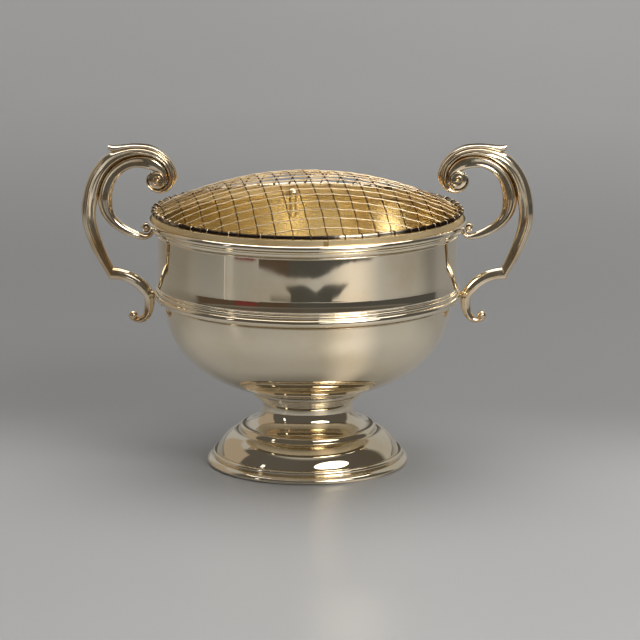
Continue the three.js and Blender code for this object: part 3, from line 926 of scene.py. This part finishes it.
@dataclass
class Handle:
    """One scroll handle in three castings, in millimetres from its solder points."""

    side: Side
    rim_point: Point = (95.3, 148.4)
    girdle_point: Point = (96.6, 108.4)
    eye: Point = (-1.9, 31.8)
    eye_r: float = 5.6
    disc_half: float = 3.1
    button_r: float = 1.9
    button_half: float = 5.4
    curl_eye: Point = (5.5, 0.7)
    curl_r: float = 2.35
    ball_eye: Point = (12.9, -14.7)
    ball_r: float = 3.0
    ball_half: float = 3.3
    elbow: Point = (25.0, 16.3)
    mitre: Point = (3.3, -7.6)

    def round_eye(self, degrees: float, out: float, width: float) -> Knot:
        """Gives a knot round the volute's eye, from the rim's solder point.

        Args:
            degrees: its angle, 0 outwards and 90 up.
            out: how far outside the volute's disc.
            width: the casting's width there.

        Returns:
            The knot.
        """
        angle = radians(degrees)
        r = self.eye_r + out
        return (self.eye[0] + r * cos(angle), self.eye[1] + r * sin(angle), width)

    def seam(self, strap: bool) -> list[Knot]:
        """Gives the knots where strap and scroll lie side by side, with the widths of one of them."""
        widths = (
            (5, 46.8, 8, 5.3), (12, 46.8, 7.5, 6.0), (18.6, 44.9, 7.2, 6.9), (24.7, 41.2, 7.3, 8.3),
            (29.6, 36.1, 7.5, 8.5), (32.8, 30.4, 8.1, 8.8), (34.6, 24.8, 8.6, 9.2), (35.5, 19.7, 9.1, 9.5),
        )
        return [(x, z, outer if strap else inner) for x, z, inner, outer in widths]

    def strap(self) -> Form:
        """Sweeps the outer strap from the volute's tail to the mitred elbow."""
        tail = ((48, 0.2, 0.7), (15, 0.25, 1.3), (-18, 0.25, 1.7), (-45, 0.25, 2.0), (-75, 0.25, 2.3),
                (-110, 0.25, 2.9), (-145, 0.3, 4.0), (180, 0.7, 4.7), (127, 3.2, 4.4))
        knots = [*(self.round_eye(*t) for t in tail), (-1.4, 44.8, 4.6), *self.seam(strap=True),
                 (36.3, 15.0, 9.4), (36.7, 9.0, 9.1), (36.1, 3.2, 8.9)]
        low = [(32.5, 34.6, 8.2), (28.9, 24.5, 7.0), (25, 16.3, 6.2), (20.9, 7.5, 5.6)]
        beads = (
            Bead(1.35, ((0, 0.5), (6, 0.72), (8, 0.74), (14, 0.72), (18, 0.66), (24, 0.6)),
                 ((0, 0.2), (6, 0.55), (14, 0.6), (19, 0.7), (24, 0.55))),
            Bead(1.1, ((7, 0.3), (12, 0.26), (15, 0.2), (18, 0.12)),
                 ((5, 0.0), (8, 0.6), (14, 0.55), (18, 0.0))),
            Bead(0.7, ((7, 0.5), (12, 0.5), (18, 0.52)), ((6, 0.0), (8, -0.45), (14, -0.4), (18, 0.0))),
            Bead(2.2, ((14, 0.35), (18, 0.36), (24, 0.3)), ((14, 0.0), (17, -0.7), (24, -0.25))),
        )
        casting = Casting(
            moved(knots, self.rim_point) + moved(low, self.girdle_point), 1,
            ((0, 2.2), (3, 3.6), (7, 4.6), (12, 4.8), (17, 4.6), (24, 3.7)),
            ((0, 0.9), (6, 0.62), (14, 0.62), (19, 0.85), (24, 0.95)), beads,
        )
        return casting.form().cut(*moved([self.elbow], self.girdle_point), self.mitre, 1)

    def leaf(self, into: Form) -> Form:
        """Sweeps the leaf that lies on the strap's crest and ends in a lifted tip, and returns the form."""
        knots = [
            (-12.6, 29.0, 0.9), (-14.1, 33.5, 1.5), (-13.4, 39.0, 2.3), (-10.8, 44.3, 2.7), (-5.3, 49.9, 2.9),
            (2.6, 53.6, 3.0), (12.2, 54.5, 3.1), (19.5, 53.9, 3.1), (24.6, 53.3, 4.0), (27.4, 53.6, 3.6),
            (28.6, 53.7, 3.0),
        ]
        vein = Bead(0.8, ((0, 0.22), (9, 0.25)), ((0, 0.0), (2, 0.35), (7, 0.35), (9, 0.1)))
        depths = ((0, 1.2), (2, 3.4), (5, 4.4), (7, 4.5), (8, 3.9), (9, 3.4), (10, 2.6))
        casting = Casting(moved(knots, self.rim_point), -1, depths, ((0, 0.8), (9, 0.8)), (vein,))
        return casting.form(around=40, into=into)

    def coil(self, into: Form, eye: Point) -> Form:
        """Sweeps the ribbon that winds inwards on the volute's disc.

        Args:
            into: the form to add it to.
            eye: the disc's centre, in the frame.

        Returns:
            The same form.
        """
        start, sweep, count = 52, 450, 19
        outer, inner, wide, narrow = self.eye_r + 0.1, 2.5, 1.6, 1.1
        knots = []
        for i in range(count + 1):
            share = i / count
            angle = radians(start + sweep * share)
            r = between(outer, inner, share)
            knots.append((r * cos(angle), r * sin(angle), between(wide, narrow, share)))
        casting = Casting(moved(knots, eye), 1, ((0, 4.3), (count, 4.6)), ((0, 0.85), (1, 0.85)))
        return casting.form(around=28, step=0.5, into=into)

    def scroll(self) -> Form:
        """Sweeps the inner scroll with its volute and its curl at the rim."""
        knots = [
            self.round_eye(225, 0.1, 0.6), self.round_eye(180, 0.6, 2.2), self.round_eye(127, 3.1, 6.0),
            (-1.4, 44.7, 7.8), *self.seam(strap=False),
            (35, 14.4, 8.8), (33.1, 9.3, 8.0), (29.7, 4.4, 7.1), (24.9, 0.1, 6.5), (18.6, -3.5, 6),
            (10.8, -6.0, 5.0), (5.9, -6.3, 4.1), (2.4, -4.6, 3.3), (0.6, -1.2, 2.4), (1.1, 1.9, 1.9),
            (3.1, 4.1, 1.6), (5.8, 4.7, 1.5), (8.1, 3.4, 1.3), (9.0, 1.4, 0.9),
        ]
        beads = (
            Bead(1.3, ((3, 0.16), (10, 0.2), (13, 0.25), (18, 0.42)),
                 ((2, 0.0), (5, 0.25), (9, 0.6), (14, 0.55), (19, 0.2))),
            Bead(1.5, ((3, 0.86), (10, 0.72), (18, 0.7)),
                 ((2, 0.0), (5, 0.5), (9, 0.35), (14, 0.2), (17, 0.0))),
            Bead(2.6, ((3, 0.5), (12, 0.5)), ((3, 0.0), (5, -0.55), (8, -0.4), (11, 0.0))),
        )
        casting = Casting(
            moved(knots, self.rim_point), -1,
            ((0, 2.4), (3, 3.9), (10, 4.0), (14, 3.6), (18, 3.2), (22, 2.4), (25, 2.1)),
            ((0, 0.8), (3, 0.55), (8, 0.6), (12, 0.8), (16, 1.0)), beads,
        )
        eye, curl = moved([self.eye, self.curl_eye], self.rim_point)
        form = self.coil(casting.form().disc(eye, self.eye_r + 0.1, self.disc_half), eye)
        return form.ball(eye, self.button_r, self.button_half).ball(curl, self.curl_r, self.disc_half)

    def foot_scroll(self) -> Form:
        """Sweeps the lower scroll from the mitre to its ball."""
        knots = [
            (33.5, 17.4, 8.0), (25, 16.1, 7.8), (20.6, 15.4, 7.4), (13.5, 13.1, 7.4), (6.9, 9.1, 7.6),
            (2.3, 4.1, 7.4), (-0.1, -0.4, 6.9), (-0.6, -5, 6.5), (-0.1, -9.6, 6.1), (1.1, -13.6, 5.6),
            (3.1, -16.6, 5.0), (6.1, -18.9, 4.4), (9.5, -19.5, 3.6), (12.8, -18.7, 2.8), (15.2, -16.9, 1.9),
            (16.4, -14.6, 0.9),
        ]
        beads = (
            Bead(1.2, ((0, 0.62), (4, 0.6), (8, 0.45), (12, 0.4)),
                 ((0, 0.45), (4, 0.4), (9, 0.35), (13, 0.0))),
            Bead(0.9, ((0, 0.84), (5, 0.86)), ((0, 0.5), (4, 0.4), (8, 0.0))),
        )
        depths = ((0, 3.7), (4, 3.5), (9, 3.1), (13, 2.4), (15, 1.2))
        casting = Casting(moved(knots, self.girdle_point), 1, depths, ((0, 0.95), (15, 1.0)), beads)
        corner, ball = moved([self.elbow, self.ball_eye], self.girdle_point)
        form = casting.form().cut(corner, self.mitre, -1).ball(ball, self.ball_r, self.ball_half)
        return form.ball((ball[0] - 0.2, ball[1] + 0.2), 1.3, 3.9)

    def build(self, shop: Finisher) -> None:
        """Makes the handle's three pieces."""
        parts = {"strap": self.leaf(self.strap()), "scroll": self.scroll(), "foot_scroll": self.foot_scroll()}
        for part, form in parts.items():
            node = f"handle_{self.side.name.lower()}_{part}"
            shop.piece(form.spun(self.side.value), f"{node}_cast", Body.VESSEL, Slot.CAST, [node], crease=50)


@dataclass
class Grille:
    """Domed mesh of two layers of wire on a ring wire and a collar, in millimetres."""

    ring_r: float = 95.9
    ring_half: float = 1.2
    wire_half: float = 0.37
    long_count: int = 18
    cross_count: int = 19
    edge_pitch: float = 0.31
    end_r: float = 93.6
    rise: float = 22.0
    twist: float = 7.5
    wander: float = 0.22
    ripple: float = 0.08
    step: float = 1.3
    tabs_at: Point = (96.2, -83.8)
    tab_face_r: float = 91.15
    tab_half: float = 2.1
    tab_bulge: float = 0.55
    patch_at: float = -83.2
    patch_span: float = 2.1
    patch_bulge: float = 0.36

    def __post_init__(self) -> None:
        """Works out the dome from its rise, and the collar's reach."""
        self.ring_z = heights("grille_ring_wire")[1] - self.ring_half
        self.dome_r = (self.end_r**2 + self.rise**2) / (2 * self.rise)
        self.dome_z = self.ring_z + self.rise - self.dome_r
        self.pitch = 2 * self.end_r / (self.cross_count - 1 + 2 * self.edge_pitch)
        self.outer = self.ring_r + self.ring_half
        self.collar_low, self.collar_high = heights("grille_collar")

    def ring(self) -> Form:
        """Turns the ring wire."""
        return Form().turn(arc(self.ring_r, self.ring_z, self.ring_half, 0, 337.5, 15))

    def collar(self) -> Form:
        """Turns the collar strip with softened edges."""
        low, high, outer = self.collar_low, self.collar_high, self.outer
        return Form().turn([
            (outer - 0.2, low), (outer, low + 0.2), (outer, high - 0.2), (outer - 0.2, high),
            (outer - 0.8, high), (outer - 1, high - 0.2), (outer - 1, low + 0.2), (outer - 0.8, low),
        ])

    def seam_patch(self) -> Form:
        """Lays the solder patch of the front tab on the collar's outside."""
        low, high = self.collar_low + 0.3, self.collar_high - 0.25

        def place(turn: float, way: float) -> Vector:
            """Gives a point of the patch's skin."""
            angle = tau * turn
            swell = abs(sin(angle)) ** 0.4 * sin(pi * way) ** 0.3
            z = (low + high) / 2 + (high - low) / 2 * cos(angle)
            round_to = Matrix.Rotation(radians(self.patch_at + self.patch_span * (way - 0.5)), 3, "Z")
            return round_to @ Vector((self.outer - 0.2 + self.patch_bulge * swell, 0, z))

        return Form().sweep(place, 24, 12)

    def tab(self, degrees: float) -> Form:
        """Bends a half-round strip down inside the bowl from the collar.

        Args:
            degrees: where it stands round the collar.

        Returns:
            The form.
        """
        low, high = heights("grille_tab_back")
        face = self.tab_face_r
        guide = Guide([
            (face, low + 0.4, 0), (face, low + 6, 0), (face, low + 13, 0), (face + 0.1, high - 2.6, 0),
            (face + 1.4, high - 0.9, 0), (face + 3.8, high - 0.5, 0),
        ])

        def place(turn: float, way: float) -> Vector:
            """Gives a point of the strip's skin."""
            point, normal, _ = guide.at(way)
            sine, cosine = sin(tau * turn), cos(tau * turn)
            half = self.tab_half * min(1.0, 0.55 + way * 6)
            spot = point.xy + normal * (self.tab_bulge * sine * (1.15 if sine > 0 else 0.6))
            return Vector((spot.x, half * copysign(abs(cosine) ** 0.6, cosine), spot.y))

        return Form().sweep(place, 28, 40).spun(degrees)

    def path(self, offset: float, upper: bool, luck: random.Random) -> list[Vector]:
        """Draws one wire from hook to hook, along X before the mesh is turned.

        Args:
            offset: how far it lies from the middle.
            upper: True for the layer that lies over the other.
            luck: the source of its small irregularities.

        Returns:
            The points of its centre line.
        """
        half = sqrt(self.end_r**2 - offset**2)
        crossings = self.cross_count + 3
        shift = 0.0 if upper else 0.5
        nudges = [luck.uniform(-self.wander, self.wander) for _ in range(crossings)]
        lifts = [luck.uniform(-self.ripple, self.ripple) for _ in range(crossings)]
        points = []
        count = max(6, round(2 * half / self.step))
        for i in range(count + 1):
            u = -half + 2 * half * i / count
            cell = u / self.pitch + crossings / 2
            at = max(0, min(crossings - 2, int(cell)))
            share = cell - at
            ease = share * share * (3 - 2 * share)
            near_end = min(1.0, min(i, count - i) / 4)
            v = offset + between(nudges[at], nudges[at + 1], ease) * near_end
            peak = (0.5 + 0.5 * cos(tau * (u / self.pitch + shift))) ** 1.5
            over = self.wire_half * (0.3 + 0.7 * peak if upper else -0.4 - 0.4 * peak)
            over += between(lifts[at], lifts[at + 1], ease)
            z = self.dome_z + sqrt(self.dome_r**2 - u * u - v * v) + over * near_end
            points.append(Vector((u, v, z)))
        return self.hook(points[0])[::-1] + points + self.hook(points[-1])

    def hook(self, end: Vector) -> list[Vector]:
        """Draws the turn of a wire's end over the ring wire, outwards from its last point inside the ring."""
        outwards = Vector((end.x, end.y, 0)).normalized()
        reach = self.ring_half + self.wire_half - 0.05
        angles = [radians(degrees) for degrees in (140, 112, 84, 56, 28, 0, -28, -52)]
        return [
            outwards * (self.ring_r + reach * cos(a)) + Vector((0, 0, self.ring_z + reach * sin(a)))
            for a in angles
        ]

    def build(self, shop: Finisher) -> None:
        """Makes ring, collar, tabs, solder patch and all the wires."""
        back, front = self.tabs_at
        for form, name, nodes, finish in (
            (self.ring(), "grille_ring", ["grille_ring_wire"], DARKENED_RING),
            (self.collar(), "grille_collar_strip", ["grille_collar"], MATT_GILDING),
            (self.tab(back), "grille_tab_back_strip", ["grille_tab_back"], GILDING),
            (self.tab(front), "grille_tab_front_strip", ["grille_tab_front"], MATT_GILDING),
            (self.seam_patch(), "grille_collar_solder", [], SOLDER),
        ):
            shop.piece(form, name, Body.GRILLE, Slot.GILT, nodes, finish=finish)
        luck = random.Random(7)
        # The cross layer wears the darker copy of the gilt wire, as painted shade.
        layers = (("long", self.long_count, self.twist, GILT_WIRE),
                  ("cross", self.cross_count, self.twist + 90, SHADED_CROSS_WIRE))
        for layer, count, turn, finish in layers:
            for row in range(count):
                node = f"grille_wire_{layer}_{row + 1:02d}"
                path = self.path(self.pitch * (row - (count - 1) / 2), layer == "long", luck)
                form = Form().tube(path, self.wire_half, 6).spun(turn)
                shop.piece(form, f"{node}_bent", Body.GRILLE, Slot.GILT, [node], crease=80, finish=finish)


@dataclass(frozen=True)
class Lamp:
    """A soft oval lamp that looks at the bowl, in degrees, metres and watts."""

    name: str
    azimuth: float
    elevation: float
    far: float
    size: Point
    power: float
    colour: Colour = (1.0, 0.99, 0.975)
    aim: tuple[float, float, float] = (0.0, 0.0, 0.1)

    def hang(self) -> None:
        """Puts the lamp in the scene, to the right of the camera's side by its azimuth."""
        data = bpy.data.lights.new(self.name, "AREA")
        data.shape = "ELLIPSE"
        data.size, data.size_y = self.size
        data.energy, data.color = self.power, self.colour
        a, e = radians(self.azimuth), radians(self.elevation)
        towards = Vector((sin(a) * cos(e), -cos(a) * cos(e), sin(e)))
        obj = placed(self.name, data)
        obj.location = Vector(self.aim) + towards * self.far
        obj.rotation_euler = towards.to_track_quat("Z", "Y").to_euler()


@dataclass
class Studio:
    """Sweep, lamps, room and camera, in metres."""

    sweep_half_width: float = 3.0
    sweep_front: float = -3.2
    bend_start: float = 1.5
    bend_radius: float = 1.5
    bend_angle: float = 42.0
    bend_steps: int = 24
    grey: Colour = (0.93, 0.94, 0.95)
    # Painted reflections seen only in mirrors: a warm painted sheen and a pale painted stripe of light.
    painted_gleam: Colour = (0.93, 0.86, 0.78)
    painted_streak: Colour = (0.5, 0.48, 0.46)
    # Colours of the painted dark room and red spot that only mirrors see.
    brown: Colour = (0.085, 0.062, 0.045)
    black: Colour = (0.075, 0.076, 0.074)
    red: Colour = (0.15, 0.04, 0.04)
    dusk: Colour = (0.17, 0.16, 0.145)
    lamps: tuple[Lamp, ...] = (
        Lamp("lamp_right", 35, 34, 1.9, (0.75, 0.6), 9),
        Lamp("lamp_right_edge", 34, 34, 1.95, (1.5, 0.72), 8),
        Lamp("lamp_above", 170, 80, 1.9, (2.9, 2.0), 40),
    )
    camera_place: tuple[float, float, float] = (0.0078, -1.9161, 0.5031)
    camera_pitch: float = 12.15
    lens: float = 175.16

    def painted_darkness(self, board: Board, way: Sum, far: Sum, red_spot: Sum) -> Sum:
        """Lays out the painted dark reflections on the floor, which only mirrors see, by direction and
        distance from the bowl.

        Args:
            board: the sweep's board, which is not used.
            way: direction in radians, 0 to the camera and rising to the right.
            far: distance in metres.
            red_spot: how much a place belongs to the painted red spot.

        Returns:
            How dark it is, from 0 to 1.
        """
        # Painted reflection: the dark band along the girdle, and the dark room beyond it.
        span = (way - 0.1).size()
        edge = (way + 0.15).ramp(-0.45, 0.0, 0.03, 0.0) + (way - 0.06).ramp(0.0, 0.5, 0.7795, 0.833)
        band = (far - edge).ramp(0.0, 0.006) * way.ramp(-0.62, -0.59) * way.ramp(0.9, 0.75)
        sharp = far.ramp(1.6, 2.6, 12.5, 1.6)
        zone = ((way + 1.54) * sharp).ramp(-1.0, 1.0) * ((1.9 - way) * sharp).ramp(-1.0, 1.0)
        zone = zone * far.ramp(0.87, 0.89)
        dark = band + zone * (1 - way.near(0.55, 0.2, 0.1) * 0.5)
        # Painted reflection: the two dark wings in the middle of the wall, with a painted brown haze on their
        # left.
        top = span.ramp(0.0, 0.15, 0.736, 0.759) - way.ramp(-0.1, -0.3, 0.0, 0.01)
        low = span.ramp(0.2, 0.46, 0.7, 0.757)
        dark = dark + (top - far).ramp(0.0, 0.005) * (far - low).ramp(0.0, 0.005) * span.ramp(0.46, 0.44)
        dark = dark + way.near(0.055, 0.27, 0.22) * far.ramp(0.735, 0.725) * far.ramp(0.5, 0.6)
        haze = way.ramp(-0.5, -0.42) * way.ramp(-0.1, -0.2) * far.ramp(0.73, 0.7) * far.ramp(0.5, 0.6)
        return (dark + haze * 0.55 + red_spot * far.ramp(0.832, 0.842)).ramp(0.0, 1.0)

    def sweep_material(self) -> bpy.types.Material:
        """Dresses the sweep as satin grey board with painted light falloff, and paints reflections for
        mirrors only: the dark room in front, a warm sheen and a pale stripe of light.
        """
        made = bpy.data.materials.new("studio_sweep")
        board = Board(made)
        x, y, _ = board.axes()
        # Painted light: the board's colour is brighter in front, darker behind the bowl and at the sides, and
        # lighter up the backdrop and to the right, standing in for the lamps' falloff.
        painted_falloff = y.ramp(-0.9, -0.15, 0.46, 0.4) * y.ramp(-0.08, 0.16, 1.0, 0.6)
        painted_falloff = painted_falloff * x.size().ramp(0.5, 0.9, 1.0, 0.8) + y.ramp(0.5, 2.4, 0.0, 0.38)
        painted_falloff = painted_falloff * x.ramp(-0.4, 0.4, 0.94, 1.06)
        shade = painted_falloff * (board.cloud(3.0, 3) * 0.06 + 0.97)
        card = board.node("ShaderNodeBsdfPrincipled", {}, {
            "Base Color": board.blend(shade, (0.0, 0.0, 0.0), self.grey), "Roughness": 0.33,
            "Specular IOR Level": 0.5,
        })
        way = x.around(y * -1)
        far = (x * x + y * y).root() + (board.cloud(16.0, 2) - 0.5) * 0.012
        # Painted reflections for glossy rays only: a dark room, browner on the left, a red spot, and dusk far
        # off.
        red_spot = way.near(-0.79, 0.19, 0.1) * far.ramp(2.6, 1.8)
        painted_gloom = board.blend(way.ramp(-0.3, -0.15), self.brown, self.black)
        painted_gloom = board.blend(red_spot, painted_gloom, self.red)
        painted_gloom = board.blend(far.ramp(2.0, 2.8), painted_gloom, self.dusk)
        mirrored = board.ray("Is Glossy Ray")
        # Painted reflection, for glossy rays only: a warm sheen where the right-hand lamp would show in the
        # floor.
        painted_gleam = way.near(0.56, 0.42, 0.02) * far.ramp(0.1, 0.7, 0.45, 0.85)
        # Painted reflection, for glossy rays only: a thin pale stripe of light on the left.
        painted_streak = way.near(-1.07, 0.014, 0.006) * far.ramp(0.45, 0.5)
        seen = board.glowing(painted_gleam * mirrored, card.outputs[0], self.painted_gleam)
        seen = board.glowing(painted_streak * mirrored, seen, self.painted_streak)
        # Painted dark reflections of the room, for glossy rays only.
        seen = board.glowing(self.painted_darkness(board, way, far, red_spot) * mirrored, seen, painted_gloom)
        board.node("ShaderNodeOutputMaterial", {}, {"Surface": seen})
        return made

    def sweep(self) -> None:
        """Bends the seamless sweep: floor, curve and back."""
        bm = bmesh.new()
        line = [(self.sweep_front, 0.0), (self.bend_start, 0.0)]
        for i in range(1, self.bend_steps + 1):
            a, r = radians(self.bend_angle * i / self.bend_steps), self.bend_radius
            line.append((self.bend_start + r * sin(a), r * (1 - cos(a))))
        verts = [bm.verts.new((-self.sweep_half_width, y, z)) for y, z in line]
        edges = [bm.edges.new(pair) for pair in zip(verts, verts[1:])]
        made = bmesh.ops.extrude_edge_only(bm, edges=edges)["geom"]
        moving = [part for part in made if isinstance(part, bmesh.types.BMVert)]
        bmesh.ops.translate(bm, vec=(2 * self.sweep_half_width, 0, 0), verts=moving)
        bmesh.ops.recalc_face_normals(bm, faces=bm.faces[:])
        if bm.faces[0].normal.z < 0:
            bmesh.ops.reverse_faces(bm, faces=bm.faces[:])
        skin(bm, "studio_sweep", self.sweep_material())

    def room(self) -> None:
        """Paints the room for mirrors and fill: dark in front, warm at the sides, pale above."""
        world = bpy.context.scene.world or bpy.data.worlds.new("room")
        bpy.context.scene.world = world
        board = Board(world)
        x, y, z = board.axes("Generated")
        way = x.around(y * -1)
        dark, beige, pale = (0.098, 0.091, 0.082), (0.37, 0.315, 0.25), (0.42, 0.42, 0.415)
        ceiling, slit_white, backdrop = (0.5, 0.485, 0.46), (2.6, 2.5, 2.4), (0.36, 0.36, 0.355)
        behind = way.size().ramp(2.9, 3.05) * z.ramp(0.08, 0.14)
        sides = way.size().ramp(1.9, 2.1) * z.ramp(0.86, 0.74) * (1 - behind)
        panel = way.ramp(-2.7, -2.6) * way.ramp(-1.62, -1.70) * z.ramp(0.62, 0.55)
        slit = way.near(-1.06, 0.05, 0.03) * z.ramp(0.2, 0.28) * z.ramp(0.5, 0.42)
        colour = board.blend(sides, dark, pale)
        for share, tint in ((panel, beige), (z.ramp(0.8, 0.92), ceiling), (slit, slit_white),
                            (board.ray("Is Camera Ray"), backdrop)):
            colour = board.blend(share, colour, tint)
        light = board.node("ShaderNodeBackground", {}, {"Color": colour, "Strength": 1.0})
        board.node("ShaderNodeOutputWorld", {}, {"Surface": light.outputs[0]})

    def camera(self) -> None:
        """Sets up the camera at the photograph's viewing angle."""
        data = bpy.data.cameras.new("camera")
        data.sensor_width = 36
        data.lens = self.lens
        data.clip_start, data.clip_end = 0.05, 50
        obj = placed("camera", data)
        obj.location = self.camera_place
        obj.rotation_euler = (radians(90 - self.camera_pitch), 0, 0)
        bpy.context.scene.camera = obj

    def build(self) -> None:
        """Sets the whole stage."""
        self.camera()
        self.sweep()
        self.room()
        for lamp in self.lamps:
            lamp.hang()
        bpy.context.scene.view_settings.view_transform = "Standard"


def main() -> None:
    """Builds the stage and every piece in order, and reports them."""
    logging.basicConfig(level=logging.INFO, format="%(name)s: %(message)s")
    Studio().build()
    shop = Finisher()
    Foot().build(shop)
    Vessel().build(shop)
    for side in Side:
        Handle(side).build(shop)
    Grille().build(shop)


if __name__ == "__main__":
    main()
